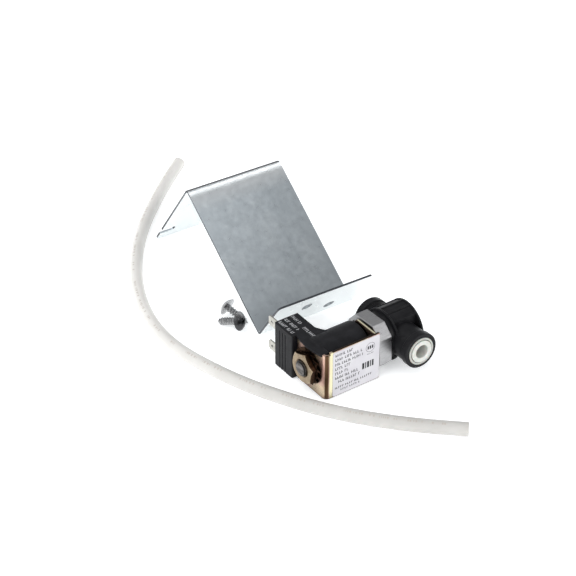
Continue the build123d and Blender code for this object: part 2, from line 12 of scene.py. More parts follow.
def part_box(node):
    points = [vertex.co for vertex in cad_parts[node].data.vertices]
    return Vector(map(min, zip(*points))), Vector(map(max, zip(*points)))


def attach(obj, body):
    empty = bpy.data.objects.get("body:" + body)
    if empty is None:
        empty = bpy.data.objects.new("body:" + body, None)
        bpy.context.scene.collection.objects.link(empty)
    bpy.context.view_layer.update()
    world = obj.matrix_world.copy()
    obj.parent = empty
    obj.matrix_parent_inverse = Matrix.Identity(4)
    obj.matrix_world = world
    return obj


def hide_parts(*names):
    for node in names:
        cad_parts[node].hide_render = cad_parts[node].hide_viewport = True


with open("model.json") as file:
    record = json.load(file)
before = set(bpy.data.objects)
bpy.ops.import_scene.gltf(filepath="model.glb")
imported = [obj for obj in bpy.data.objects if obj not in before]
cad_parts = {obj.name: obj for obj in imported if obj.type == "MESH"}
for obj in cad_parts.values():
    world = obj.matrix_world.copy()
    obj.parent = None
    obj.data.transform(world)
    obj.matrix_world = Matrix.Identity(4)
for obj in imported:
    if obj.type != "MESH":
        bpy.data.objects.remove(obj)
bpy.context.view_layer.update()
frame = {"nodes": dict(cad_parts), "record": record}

MM = 0.001
LAYOUT_CENTRE = (33.94, 76.14)      # mm, the row's origin in the valve's plan, as in the CAD source
STEM_HEIGHT = 15.9
MOULDING_TOP = 13.6                 # mm, the coil moulding's flat top above the stem axis

# ---- camera -------------------------------------------------------------------------------------
LENS = 125.0
CAMERA_AZIMUTH = -35.15
CAMERA_ELEVATION = 34.6
CAMERA_DISTANCE = 1.210             # metres
CAMERA_TARGET = (47.24, 87.86, 0.0)     # mm, in the valve's plan

# ---- tube ---------------------------------------------------------------------------------------
TUBE_RADIUS = 3.97
TUBE_BORE_RADIUS = 3.0
TUBE_HEIGHT = 4.0                   # its middle line above the floor
TUBE_EDGE = 0.12                    # broken off the edges of its cut ends
TUBE_AROUND = 64                    # faces round the tube
ROUTE_STEPS = 14                    # steps of the smooth line to each point of the route
TUBE_ROUTE = [
    (69.0, 244.0), (48.0, 227.5), (27.0, 209.0), (6.5, 189.0), (-12.5, 165.5), (-28.0, 140.5),
    (-38.5, 115.5), (-43.8, 92.5), (-44.2, 70.0), (-40.0, 48.0), (-32.0, 22.0), (-21.3, -2.0),
    (-9.0, -24.0), (5.0, -43.0), (20.0, -60.0), (34.0, -73.5), (46.5, -84.7),
]

# ---- bracket screws, the sizes and places of the CAD's ------------------------------------------
SCREW_LENGTH = 15.9
SCREW_ROOT_RADIUS = 1.75
SCREW_THREAD_RADIUS = 2.4
SCREW_PITCH = 1.8
SCREW_HEAD_RADIUS = 5.8
SCREW_HEAD = 3.1
SCREW_POINT = 3.0
SCREW_PLACES = (((-1.0, 68.7), 116.0), ((1.3, 84.6), -72.5))    # (under the head, heading in degrees)
SCREW_TIP_RADIUS = 0.25
SCREW_CREST = 0.26                  # half the width of a crest, as a share of the pitch
SCREW_THREAD_START = 0.5
SCREW_RUN_IN = 1.2                  # over which the thread rises under the head
SCREW_RUN_OUT = 2.2                 # over which it falls towards the point
SCREW_AROUND = 72
SCREW_STEP = 0.09
SCREW_DOME_RINGS = 28
SCREW_FIRST_RING = 5                # rings of the shank nearer the head belong to its fillet
SCREW_SHARP_ANGLE = 38              # degrees; sharper edges stay sharp in the shading

# ---- print, in mm -------------------------------------------------------------------------------
LABEL_ROWS = (                      # (drop from the top, start and end as shares of the width, height)
    (2.6, 0.02, 0.43, 1.8), (5.7, 0.02, 0.62, 1.8), (8.8, 0.02, 0.64, 1.8), (11.9, 0.02, 0.38, 1.8),
    (15.0, 0.02, 0.32, 1.8), (18.1, 0.02, 0.52, 1.8), (21.2, 0.09, 0.56, 1.8),
    (25.0, 0.02, 0.82, 1.3), (27.3, 0.14, 0.56, 1.2),
)
LABEL_MARGIN = 1.0
LABEL_STROKE = 0.4
RING_PLACE = (0.80, 6.4)            # (share of the width, drop) of the plain ring's middle
RING_RADIUS = 2.95
RING_BARS = 40
RING_INNER_BARS = (-2.0, -0.5, 1.0)
BLOCKS_PLACE = (0.63, 19.8)
BLOCKS = ((0.0, 1.5), (2.1, 0.7), (3.4, 1.5), (5.5, 0.7), (6.8, 1.2))    # (shift, width)
BLOCK_HEIGHT = 4.2
MOULDING_ROWS = (                   # (x, y, length), in the valve's plan
    (-1.6, 28.3, 13.6), (2.5, 28.4, 12.4), (7.2, 28.6, 8.4), (6.2, 15.8, 4.2), (6.2, 10.4, 5.2),
)
MOULDING_ROW_HEIGHT = 2.1
MOULDING_STROKE = 0.36

# ---- toothed rims of the body, in mm -----------------------------------------------------------
RIM_MIDDLES = (51.7, 68.6)          # along the stem
RIM_HALF = 0.8                      # half of a rim's width
RIM_TEETH = 90.0                    # round each rim, as bump only

# ---- stage and light ----------------------------------------------------------------------------
FLOOR_REACH = 6.0                   # metres
FLOOR_GLOW = 0.38
TENT_COLOUR = (0.97, 0.985, 1.0)
TENT_STRENGTH = 1.75
TENT_GLINT = 0.95                   # the most of that strength that glossy rays see
TENT_GAPS = (((0.474, -0.307, 0.826), 50, 0.24), ((0.474, 0.673, 0.568), 42, 0.22))


def plan(x, y, z=0.0):
    """A point measured in mm from the stem axis at the yoke's front face, in the row frame."""
    return Vector((x - LAYOUT_CENTRE[0], y - LAYOUT_CENTRE[1], z)) * MM


def new_object(name, mesh):
    """Links a mesh to the scene as an object of its own."""
    made = bpy.data.objects.new(name, mesh)
    bpy.context.scene.collection.objects.link(made)
    return made


def mesh_from(name, vertices, faces, smooth=True):
    """A mesh object made of plain lists."""
    mesh = bpy.data.meshes.new(name)
    mesh.from_pydata(vertices, [], faces)
    mesh.validate()
    mesh.polygons.foreach_set("use_smooth", [smooth] * len(mesh.polygons))
    return new_object(name, mesh)


# ---- camera -------------------------------------------------------------------------------------
def make_camera():
    """The photograph's viewpoint: a long lens, looking down from the front and one side."""
    azimuth, elevation = radians(CAMERA_AZIMUTH), radians(CAMERA_ELEVATION)
    back = Vector((
        sin(azimuth) * cos(elevation), -cos(azimuth) * cos(elevation), sin(elevation),
    ))
    data = bpy.data.cameras.new("camera")
    data.lens = LENS
    data.sensor_width = 36.0
    camera = bpy.data.objects.new("camera", data)
    bpy.context.scene.collection.objects.link(camera)
    camera.location = plan(*CAMERA_TARGET) + back * CAMERA_DISTANCE
    camera.rotation_mode = "QUATERNION"
    camera.rotation_quaternion = (-back).to_track_quat("-Z", "Y")
    bpy.context.scene.camera = camera


# ---- tube ---------------------------------------------------------------------------------------
def route_line():
    """Points along the tube's smooth line, read from a NURBS spline of its route."""
    curve = bpy.data.curves.new("tube_route", "CURVE")
    curve.dimensions = "3D"
    curve.resolution_u = ROUTE_STEPS
    spline = curve.splines.new("NURBS")
    spline.points.add(len(TUBE_ROUTE) - 1)
    for point, (x, y) in zip(spline.points, TUBE_ROUTE):
        point.co = (*plan(x, y, TUBE_HEIGHT), 1.0)
    spline.order_u = 3
    spline.use_endpoint_u = True
    holder = new_object("tube_route", curve)
    line = bpy.data.meshes.new_from_object(holder)
    points = [v.co.copy() for v in line.vertices]
    bpy.data.objects.remove(holder)
    return points


def water_tube():
    """The tube as a closed mesh with its bore, its ends cut square and their edges just broken."""
    points = route_line()
    around = TUBE_AROUND
    broken = TUBE_EDGE
    wall = [(TUBE_RADIUS - broken, 0), (TUBE_RADIUS, broken)]
    bore = [(TUBE_BORE_RADIUS, broken), (TUBE_BORE_RADIUS + broken, 0)]
    tangents = []
    for i in range(len(points)):
        tangents.append((points[min(i + 1, len(points) - 1)] - points[max(i - 1, 0)]).normalized())
    first, last = points[0], points[-1]
    stations = [(first + tangents[0] * (depth * MM), tangents[0], radius) for radius, depth in wall]
    stations += [(p, t, TUBE_RADIUS) for p, t in zip(points[1:-1], tangents[1:-1])]
    stations += [(last - tangents[-1] * (d * MM), tangents[-1], r) for r, d in reversed(wall)]
    stations += [(last - tangents[-1] * (d * MM), tangents[-1], r) for r, d in reversed(bore)]
    stations += [
        (p, t, TUBE_BORE_RADIUS) for p, t in zip(reversed(points[1:-1]), reversed(tangents[1:-1]))
    ]
    stations += [(first + tangents[0] * (depth * MM), tangents[0], radius) for radius, depth in bore]
    vertices, places = [], []
    run = 0.0
    for i, (centre, tangent, radius) in enumerate(stations):
        run += (centre - stations[i - 1][0]).length if i else 0.0
        side = Vector((0, 0, 1)).cross(tangent).normalized()
        for j in range(around):
            angle = 2 * pi * j / around
            vertices.append(centre + (side * cos(angle) + Vector((0, 0, 1)) * sin(angle)) * (radius * MM))
        places.append(run)
    faces = []
    for i in range(len(stations)):
        k = (i + 1) % len(stations)
        for j in range(around):
            n = (j + 1) % around
            faces.append((i * around + j, i * around + n, k * around + n, k * around + j))
    tube = mesh_from("polyethylene_tube", vertices, faces)
    layer = tube.data.uv_layers.new(name="along")
    for polygon in tube.data.polygons:
        seam = polygon.index % around == around - 1
        for loop in polygon.loop_indices:
            ring, j = divmod(tube.data.loops[loop].vertex_index, around)
            turn = 1.0 if seam and j == 0 else j / around
            layer.data[loop].uv = (places[ring], turn)
    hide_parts("water_tube")
    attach(tube, "valve")
    return tube


# ---- bracket screws -----------------------------------------------------------------------------
def shank_radius(x, angle):
    """Radius of the threaded shank: a sharp helical crest on a root that tapers to the point."""
    left = SCREW_LENGTH - x
    taper = min(1.0, left / SCREW_POINT)
    root = SCREW_TIP_RADIUS + (SCREW_ROOT_RADIUS - SCREW_TIP_RADIUS) * taper
    phase = (x / SCREW_PITCH - angle / (2 * pi)) % 1.0
    crest = max(0.0, 1.0 - abs(phase - 0.5) / SCREW_CREST)
    rise = min(1.0, max(0.0, (x - SCREW_THREAD_START) / SCREW_RUN_IN))
    fade = rise * min(1.0, left / SCREW_RUN_OUT)
    return root + (SCREW_THREAD_RADIUS - SCREW_ROOT_RADIUS) * crest * fade


def screw_mesh(name):
    """One truss-head screw along +X in mm: the underside of its head is at x = 0."""
    around = SCREW_AROUND
    count = ceil(SCREW_LENGTH / SCREW_STEP)
    dome = (SCREW_HEAD_RADIUS**2 + SCREW_HEAD**2) / (2 * SCREW_HEAD)
    middle = 0.02
    brim = SCREW_HEAD_RADIUS - 0.28 * 0.4
    profile = []
    for i in range(SCREW_DOME_RINGS + 1):
        radius = middle + (brim - middle) * i / SCREW_DOME_RINGS
        profile.append((dome - SCREW_HEAD - (dome**2 - radius**2) ** 0.5, radius))
    profile += [(-0.12, SCREW_HEAD_RADIUS), (-0.02, SCREW_HEAD_RADIUS - 0.06), (0.0, SCREW_HEAD_RADIUS - 0.2)]
    profile += [(0.0, SCREW_ROOT_RADIUS + 0.35), (0.1, SCREW_ROOT_RADIUS + 0.1), (0.35, SCREW_ROOT_RADIUS)]
    vertices, faces = [], []
    rows = [[(x, radius)] * around for x, radius in profile]
    for i in range(SCREW_FIRST_RING, count):
        x = i * SCREW_STEP
        rows.append([(x, shank_radius(x, 2 * pi * j / around)) for j in range(around)])
    rows.append([(SCREW_LENGTH, 0.1)] * around)
    for row in rows:
        for j, (x, radius) in enumerate(row):
            angle = 2 * pi * j / around
            vertices.append((x, radius * cos(angle), radius * sin(angle)))
    for i in range(len(rows) - 1):
        for j in range(around):
            n = (j + 1) % around
            faces.append((i * around + n, i * around + j, (i + 1) * around + j, (i + 1) * around + n))
    faces.append(tuple(range(around)))
    faces.append(tuple(reversed([(len(rows) - 1) * around + j for j in range(around)])))
    return mesh_from(name, vertices, faces)


def cross_cutter():
    """The tapered cross that is pressed into a screw's head."""
    half_long, half_wide = 2.3, 0.5
    outline = [
        (half_long, -half_wide), (half_long, half_wide), (half_wide, half_wide), (half_wide, half_long),
        (-half_wide, half_long), (-half_wide, half_wide), (-half_long, half_wide),
        (-half_long, -half_wide), (-half_wide, -half_wide), (-half_wide, -half_long),
        (half_wide, -half_long), (half_wide, -half_wide),
    ]
    count = len(outline)
    mouth, bottom = (-SCREW_HEAD - 0.5, 1.1), (-SCREW_HEAD + 1.9, 0.42)
    levels = (mouth, bottom)            # (x, scale of the outline)
    vertices = [(x, y * scale, z * scale) for x, scale in levels for y, z in outline]
    faces = [(j, (j + 1) % count, count + (j + 1) % count, count + j) for j in range(count)]
    faces += [tuple(reversed(range(count))), tuple(range(count, 2 * count))]
    cutter = mesh_from("cross_cutter", vertices, faces, smooth=False)
    fix = bmesh.new()
    fix.from_mesh(cutter.data)
    bmesh.ops.recalc_face_normals(fix, faces=fix.faces)
    fix.to_mesh(cutter.data)
    fix.free()
    return cutter


def bracket_screws():
    """The two loose screws with helical threads, each lying on its head's rim and its point."""
    dip = atan2(SCREW_HEAD_RADIUS - 0.3, SCREW_LENGTH)
    made = []
    for number, ((x, y), heading) in enumerate(SCREW_PLACES, 1):
        screw = screw_mesh(f"bracket_screw_{number}")
        cutter = cross_cutter()
        cut = screw.modifiers.new("recess", "BOOLEAN")
        cut.operation = "DIFFERENCE"
        cut.solver = "EXACT"
        cut.object = cutter
        shaped = bpy.data.meshes.new_from_object(
            screw.evaluated_get(bpy.context.evaluated_depsgraph_get())
        )
        screw.modifiers.clear()
        bpy.data.objects.remove(cutter)
        turn = Matrix.Rotation(radians(heading), 4, "Z") @ Matrix.Rotation(dip, 4, "Y")
        shaped.transform(turn)
        lift = -min(v.co.z for v in shaped.vertices)
        shaped.transform(Matrix.Translation((x - LAYOUT_CENTRE[0], y - LAYOUT_CENTRE[1], lift)))
        shaped.transform(Matrix.Scale(MM, 4))
        screw.data = shaped
        soften(shaped, SCREW_SHARP_ANGLE)
        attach(screw, "valve")
        made.append(screw)
    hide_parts("bracket_screws")
    return made


def soften(mesh, degrees):
    """Smooth shading with the edges sharper than an angle kept sharp."""
    edit = bmesh.new()
    edit.from_mesh(mesh)
    for edge in edit.edges:
        edge.smooth = not edge.is_manifold or edge.calc_face_angle(0) < radians(degrees)
    for face in edit.faces:
        face.smooth = True
    edit.to_mesh(mesh)
    edit.free()


# ---- print --------------------------------------------------------------------------------------
def bar(vertices, faces, corner, across, up, out, width, height, thick=0.015):
    """Adds one thin raised bar of print to a list of vertices and faces, in mm."""
    base = len(vertices)
    for depth in (0.0, thick):
        for u, v in ((0, 0), (width, 0), (width, height), (0, height)):
            vertices.append(corner + across * u + up * v + out * depth)
    faces += [tuple(base + k for k in quad) for quad in (
        (3, 2, 1, 0), (4, 5, 6, 7), (0, 1, 5, 4), (1, 2, 6, 5), (2, 3, 7, 6), (3, 0, 4, 7),
    )]


def tick_row(vertices, faces, seed, start, across, up, out, length, height, stroke):
    """A row of plain ticks and dashes in word-like groups, which spells nothing."""
    pick = random.Random(seed)
    at = 0.0
    while at < length:
        for _ in range(pick.randint(3, 6)):
            kind = pick.random()
            place = start + across * at
            if at > length:
                break
            bar(vertices, faces, place, across, up, out, stroke, height)
            if kind < 0.6:
                level = up * (height * pick.choice((0.0, 0.4, 0.78)))
                bar(vertices, faces, place + level, across, up, out, stroke * 2.5, height * 0.22, 0.014)
                at += stroke * 1.5
            elif kind < 0.8:
                bar(vertices, faces, place + across * stroke * 1.5, across, up, out, stroke, height * 0.6)
                at += stroke * 1.5
            at += stroke * 2.0
        at += height * 0.5


def label_print():
    """Rows of plain ticks on the label, a plain ring and a plain set of blocks: no words, no marks."""
    low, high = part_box("label")
    corner = Vector((low.x, low.y, high.z)) / MM
    across, up, out = Vector((1, 0, 0)), Vector((0, 0, 1)), Vector((0, -1, 0))
    width = (high.x - low.x) / MM
    vertices, faces = [], []
    for seed, (drop, start, end, height) in enumerate(LABEL_ROWS):
        place = corner + across * (LABEL_MARGIN + start * width) - up * (drop + height / 2)
        length = (end - start) * width - LABEL_MARGIN
        tick_row(vertices, faces, seed, place, across, up, out, length, height, LABEL_STROKE)
    ring = corner + across * (width * RING_PLACE[0]) - up * RING_PLACE[1]
    for i in range(RING_BARS):
        angle = 2 * pi * i / RING_BARS
        spoke = across * cos(angle) + up * sin(angle)
        along = across * -sin(angle) + up * cos(angle)
        bar(vertices, faces, ring + spoke * RING_RADIUS - along * 0.25, along, spoke, out, 0.5, 0.2)
    for shift in RING_INNER_BARS:
        bar(vertices, faces, ring + across * shift - up * 1.1, across, up, out, 1.0, 2.2)
    tick_row(vertices, faces, 31, ring - across * 2.2 - up * 4.6, across, up, out, 4.4, 0.7, 0.25)
    block = corner + across * (width * BLOCKS_PLACE[0]) - up * BLOCKS_PLACE[1]
    for shift, wide in BLOCKS:
        bar(vertices, faces, block + across * shift, across, up, out, wide, BLOCK_HEIGHT)
    made = mesh_from("label_print", [v * MM for v in vertices], faces, smooth=False)
    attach(made, "valve")
    return made


def moulding_print():
    """Rows of plain ticks on the moulding's flat top."""
    top = STEM_HEIGHT + MOULDING_TOP
    across, up, out = Vector((0, -1, 0)), Vector((1, 0, 0)), Vector((0, 0, 1))
    vertices, faces = [], []
    for seed, (x, y, length) in enumerate(MOULDING_ROWS, 50):
        start = Vector((x - LAYOUT_CENTRE[0], y - LAYOUT_CENTRE[1], top - 0.003))
        tick_row(
            vertices, faces, seed, start, across, up, out, length, MOULDING_ROW_HEIGHT, MOULDING_STROKE,
        )
    made = mesh_from("moulding_print", [v * MM for v in vertices], faces, smooth=False)
    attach(made, "valve")
    return made


# ---- materials ----------------------------------------------------------------------------------
class Surface:
    """One material, with short calls for the nodes that its detail is made of."""

    def __init__(self, name, **settings):
        self.material = bpy.data.materials.new(name)
        self.material.use_nodes = True
        self.tree = self.material.node_tree
        self.shader = self.tree.nodes["Principled BSDF"]
        for key, value in settings.items():
            self.shader.inputs[key.replace("_", " ")].default_value = value

    def node(self, kind, values=None, **settings):
        """A new node; values sets its inputs by name or number, joining sockets and setting the rest."""
        made = self.tree.nodes.new(kind)
        for key, value in settings.items():
            setattr(made, key, value)
        for key, value in (values or {}).items():
            if isinstance(value, bpy.types.NodeSocket):
                self.tree.links.new(value, made.inputs[key])
            else:
                made.inputs[key].default_value = value
        return made

    def join(self, socket, name):
        """Feeds one of the shader's inputs."""
        self.tree.links.new(socket, self.shader.inputs[name])

    def place(self, stretch=(1, 1, 1), turn=(0, 0, 0)):
        """Object coordinates, stretched so that a pattern runs long in one direction."""
        source = self.node("ShaderNodeTexCoord").outputs["Object"]
        return self.node(
            "ShaderNodeMapping", {"Vector": source, "Scale": stretch, "Rotation": turn}
        ).outputs["Vector"]

    def noise(self, size, detail=3.0, rough=0.55, stretch=(1, 1, 1), turn=(0, 0, 0), warp=0.0):
        """Noise whose blotches are about size mm across."""
        return self.node("ShaderNodeTexNoise", {
            "Vector": self.place(stretch, turn), "Scale": 1.0 / (size * MM),
            "Detail": detail, "Roughness": rough, "Distortion": warp,
        }).outputs["Fac"]

    def ramp(self, factor, *stops):
        """A colour ramp from (place, colour) stops."""
        made = self.node("ShaderNodeValToRGB", {"Fac": factor})
        elements = made.color_ramp.elements
        while len(elements) < len(stops):
            elements.new(0.5)
        for element, (at, colour) in zip(elements, stops):
            element.position = at
            element.color = (*colour, 1.0)
        return made.outputs["Color"]

    def spread(self, factor, low, high, start=0.3, end=0.7):
        """Maps a factor from start..end to low..high, clamped."""
        return self.node("ShaderNodeMapRange", {
            "Value": factor, "From Min": start, "From Max": end, "To Min": low, "To Max": high,
        }).outputs["Result"]

    def mix(self, factor, first, second, how="MIX"):
        """Two colours mixed."""
        made = self.node("ShaderNodeMix", data_type="RGBA", blend_type=how)
        for socket, value in zip((made.inputs[0], made.inputs[6], made.inputs[7]), (factor, first, second)):
            if isinstance(value, bpy.types.NodeSocket):
                self.tree.links.new(value, socket)
            else:
                socket.default_value = value if isinstance(value, float) else (*value, 1.0)
        return made.outputs[2]

    def maths(self, how, first, second=0.0):
        """One arithmetic step."""
        return self.node("ShaderNodeMath", {0: first, 1: second}, operation=how).outputs[0]

    def axis(self, number):
        """One object coordinate in metres: 0 x, 1 y, 2 z."""
        source = self.node("ShaderNodeTexCoord").outputs["Object"]
        return self.node("ShaderNodeSeparateXYZ", {0: source}).outputs[number]

    def normal(self, height, depth, edge=0.3):
        """Bump of a depth in mm over edges rounded by edge mm."""
        rounded = self.node("ShaderNodeBevel", {"Radius": edge * MM}, samples=6).outputs["Normal"]
        made = self.node("ShaderNodeBump", {
            "Height": height, "Distance": depth * MM, "Strength": 1.0, "Normal": rounded,
        })
        self.join(made.outputs["Normal"], "Normal")

    def facing(self, number):
        """One part of the surface's direction in object coordinates, -1 to 1."""
        source = self.node("ShaderNodeTexCoord").outputs["Normal"]
        return self.node("ShaderNodeSeparateXYZ", {0: source}).outputs[number]

    def near(self, value, middle, width, fade):
        """1 where a value is within width of middle, falling to 0 over fade."""
        away = self.maths("ABSOLUTE", self.maths("SUBTRACT", value, middle))
        return self.spread(away, 1.0, 0.0, width, width + fade)

    def crevice(self, reach):
        """0 in corners and recesses closer than reach mm, 1 in the open."""
        return self.node("ShaderNodeAmbientOcclusion", {"Distance": reach * MM}, samples=6).outputs["AO"]


def yellow_zinc():
    """Yellow chromate over zinc: pink to gold in patches; a brown painted shade and a pale painted highlight
    by turns round the bend, painted shade on the top edges and in recesses, and a painted highlight on the
    end plate's top edge.
    """
    s = Surface("yellow_zinc", Metallic=1.0)
    drift = s.noise(11, 2, 0.5, warp=0.6)
    colour = s.ramp(
        drift, (0.38, (0.62, 0.38, 0.32)), (0.5, (0.72, 0.50, 0.40)), (0.6, (0.78, 0.63, 0.44)),
        (0.74, (0.64, 0.60, 0.43)),
    )
    stain = s.noise(2.2, 4, 0.6)
    colour = s.mix(s.spread(stain, 0.0, 0.4), colour, (0.52, 0.33, 0.24))
    across, along = s.axis(1), s.axis(0)
    # Painted shade: a brown stripe down the front bend, standing in for its dark reflection.
    brown = s.near(along, plan(0.9, 0).x, 1.1 * MM, 0.9 * MM)
    brown = s.maths("MULTIPLY", brown, s.near(across, plan(0, -15.0).y, 1.0 * MM, 0.5 * MM))
    colour = s.mix(brown, colour, (0.10, 0.055, 0.03))
    # Painted highlight: a pale stripe on the side, just behind the bend.
    pale = s.near(along, plan(4.0, 0).x, 1.0 * MM, 0.4 * MM)
    pale = s.maths("MULTIPLY", pale, s.near(across, plan(0, -15.3).y, 0.4 * MM, 0.2 * MM))
    colour = s.mix(pale, colour, (0.80, 0.74, 0.49))
    top = s.spread(s.facing(2), 0.0, 1.0, 0.7, 0.9)
    # Painted shade: the upward faces from 5.3 to 37.7 mm along the stem, the top edges of the yoke's sides,
    # are made near black.
    edge = s.maths("MULTIPLY", top, s.near(along, plan(21.5, 0).x, 16.2 * MM, 0.3 * MM))
    # Painted shade: darkening in corners and recesses within 8 mm.
    painted_recess_shade = s.spread(s.crevice(8), 1.0, 0.0, 0.45, 0.85)
    colour = s.mix(s.maths("MAXIMUM", edge, painted_recess_shade), colour, (0.045, 0.03, 0.02))
    # Painted highlight: a bright gold line along the end plate's top edge.
    tone_and_painted_light = s.maths("MULTIPLY", top, s.near(along, plan(35.1, 0).x, 0.4 * MM, 0.2 * MM))
    tone_and_painted_light = s.maths("MULTIPLY", tone_and_painted_light, s.spread(across, 0.0, 1.0, plan(0, -14.2).y, plan(0, -13.4).y))
    s.join(s.mix(tone_and_painted_light, colour, (0.95, 0.88, 0.62)), "Base Color")
    s.join(s.spread(s.noise(0.9, 4), 0.26, 0.42), "Roughness")
    s.normal(s.noise(0.28, 3, stretch=(1, 1, 0.15)), 0.006)
    return s.material


def nut_zinc():
    """The nut's yellow chromate: gold on its front face, and dark brown as painted shade on its sides and in
    the bore.
    """
    s = Surface("nut_zinc", Metallic=1.0)
    gold = s.ramp(s.noise(3, 3), (0.3, (0.27, 0.20, 0.13)), (0.7, (0.42, 0.33, 0.22)))
    # Painted shade: every face that doesn't face the front, the sides and the bore, is made dark brown.
    brown = s.ramp(s.noise(1.2, 3), (0.3, (0.022, 0.011, 0.007)), (0.7, (0.07, 0.036, 0.02)))
    s.join(s.mix(s.spread(s.facing(0), 1.0, 0.0, -0.75, -0.25), brown, gold), "Base Color")
    s.join(s.spread(s.noise(0.6, 3), 0.24, 0.38), "Roughness")
    s.normal(s.noise(0.3, 3), 0.006, 0.25)
    return s.material


def dark_steel():
    """Oil-blackened brown steel, lighter in scattered rubbed patches."""
    s = Surface("dark_steel", Metallic=1.0)
    colour = s.ramp(s.noise(1.6, 4, 0.6), (0.3, (0.022, 0.013, 0.009)), (0.7, (0.075, 0.046, 0.03)))
    s.join(s.mix(s.spread(s.noise(0.5, 3), 0.0, 0.5, 0.64, 0.82), colour, (0.42, 0.30, 0.20)), "Base Color")
    s.join(s.spread(s.noise(0.6, 3), 0.22, 0.45), "Roughness")
    s.normal(s.noise(0.35, 3), 0.01, 0.15)
    return s.material


def label_vinyl():
    """White printed vinyl with a faint lilac cast and a few shallow waves."""
    s = Surface("label_vinyl", Roughness=0.4, Specular_IOR_Level=0.4)
    s.join(s.ramp(s.noise(9, 2), (0.3, (0.50, 0.485, 0.515)), (0.7, (0.55, 0.54, 0.56))), "Base Color")
    s.normal(s.noise(5, 2), 0.03, 0.1)
    return s.material


def black_moulding():
    """Glass-filled black nylon: fine grain, slightly cloudy gloss."""
    s = Surface("black_moulding", Specular_IOR_Level=0.13)
    s.join(s.ramp(s.noise(4, 4), (0.3, (0.007, 0.007, 0.008)), (0.7, (0.013, 0.013, 0.015))), "Base Color")
    s.join(s.spread(s.noise(1.2, 4), 0.36, 0.52), "Roughness")
    s.normal(s.noise(0.22, 3), 0.008, 0.45)
    return s.material


def black_body():
    """Moulded black acetal; the two rims carry fine teeth about the stem's axis."""
    s = Surface("black_body", Specular_IOR_Level=0.12)
    s.join(s.ramp(s.noise(5, 3), (0.3, (0.006, 0.006, 0.007)), (0.7, (0.011, 0.011, 0.012))), "Base Color")
    s.join(s.spread(s.noise(1.5, 4), 0.3, 0.44), "Roughness")
    stem_y, stem_z = -LAYOUT_CENTRE[1] * MM, STEM_HEIGHT * MM
    angle = s.maths("ARCTAN2", s.maths("SUBTRACT", s.axis(1), stem_y), s.maths("SUBTRACT", s.axis(2), stem_z))
    teeth = s.maths("SINE", s.maths("MULTIPLY", angle, RIM_TEETH))
    along = s.axis(0)
    front, back = (
        s.maths("LESS_THAN", s.maths("ABSOLUTE", s.maths("SUBTRACT", along, plan(x, 0).x)), RIM_HALF * MM)
        for x in RIM_MIDDLES
    )
    toothed = s.maths("MULTIPLY", teeth, s.maths("ADD", front, back))
    grain = s.maths("MULTIPLY", s.noise(0.25, 3), 0.05)
    s.normal(s.maths("ADD", grain, s.maths("MULTIPLY", toothed, 0.5)), 0.16, 0.35)
    return s.material


def natural_plastic():
    """Unfilled nylon, faintly cloudy."""
    s = Surface("natural_plastic", Roughness=0.42)
    s.join(s.ramp(s.noise(3, 3), (0.3, (0.62, 0.58, 0.46)), (0.7, (0.72, 0.68, 0.56))), "Base Color")
    s.normal(s.noise(0.3, 2), 0.006)
    return s.material


def copper():
    """Enamelled copper with turns of fine wire about the stem."""
    s = Surface("copper", Metallic=1.0)
    s.join(s.ramp(s.noise(2, 3), (0.3, (0.60, 0.24, 0.11)), (0.7, (0.76, 0.36, 0.18))), "Base Color")
    s.join(s.spread(s.noise(0.8, 3), 0.25, 0.4), "Roughness")
    s.normal(s.maths("SINE", s.maths("MULTIPLY", s.axis(0), 2 * pi / (0.2 * MM))), 0.02)
    return s.material


def tinned_brass():
    """Tin plate, slightly dulled, with the grain of the strip along the blade."""
    s = Surface("tinned_brass", Metallic=1.0)
    s.join(s.ramp(s.noise(2.5, 4), (0.3, (0.42, 0.41, 0.37)), (0.7, (0.58, 0.565, 0.52))), "Base Color")
    s.join(s.spread(s.noise(0.7, 4, stretch=(1, 0.12, 1)), 0.28, 0.42), "Roughness")
    s.normal(s.noise(0.15, 3, stretch=(1, 0.08, 1)), 0.004, 0.12)
    return s.material


def stainless():
    """Turned stainless steel, patchy in tone as a painted reflection: fine rings about the stem, and a dark
    ring of painted shade near its rim.
    """
    s = Surface("stainless", Metallic=1.0)
    # Painted reflection: streaks of light and dark tone, standing in for the streaks of reflection on the
    # stud's end.
    patches = s.noise(2, 3, stretch=(1, 0.3, 1))
    tone = s.ramp(patches, (0.35, (0.05, 0.045, 0.043)), (0.65, (0.28, 0.26, 0.25)))
    s.join(s.spread(s.noise(0.5, 3), 0.25, 0.4), "Roughness")
    reach = s.node("ShaderNodeVectorMath", {
        0: s.node("ShaderNodeCombineXYZ", {1: s.axis(1), 2: s.axis(2)}).outputs[0],
        1: (0.0, -LAYOUT_CENTRE[1] * MM, STEM_HEIGHT * MM),
    }, operation="DISTANCE").outputs["Value"]
    # Painted shade: a dark ring 3.9 to 4.6 mm from the stem's axis, where the stud's thread meets its end.
    ring = s.near(reach, 4.25 * MM, 0.35 * MM, 0.2 * MM)
    s.join(s.mix(ring, tone, (0.02, 0.018, 0.017)), "Base Color")
    s.normal(s.maths("SINE", s.maths("MULTIPLY", reach, 2 * pi / (0.35 * MM))), 0.008, 0.15)
    return s.material


def bonnet_metal():
    """Machined metal with grain lines along the stem and a few deeper drag marks."""
    s = Surface("bonnet_metal", Metallic=1.0)
    lines = s.noise(0.22, 4, 0.65, stretch=(0.05, 1, 1))
    s.join(s.ramp(lines, (0.3, (0.33, 0.33, 0.335)), (0.7, (0.49, 0.485, 0.49))), "Base Color")
    s.join(s.spread(s.noise(0.8, 4, stretch=(0.1, 1, 1)), 0.26, 0.42), "Roughness")
    s.normal(lines, 0.012, 0.2)
    return s.material


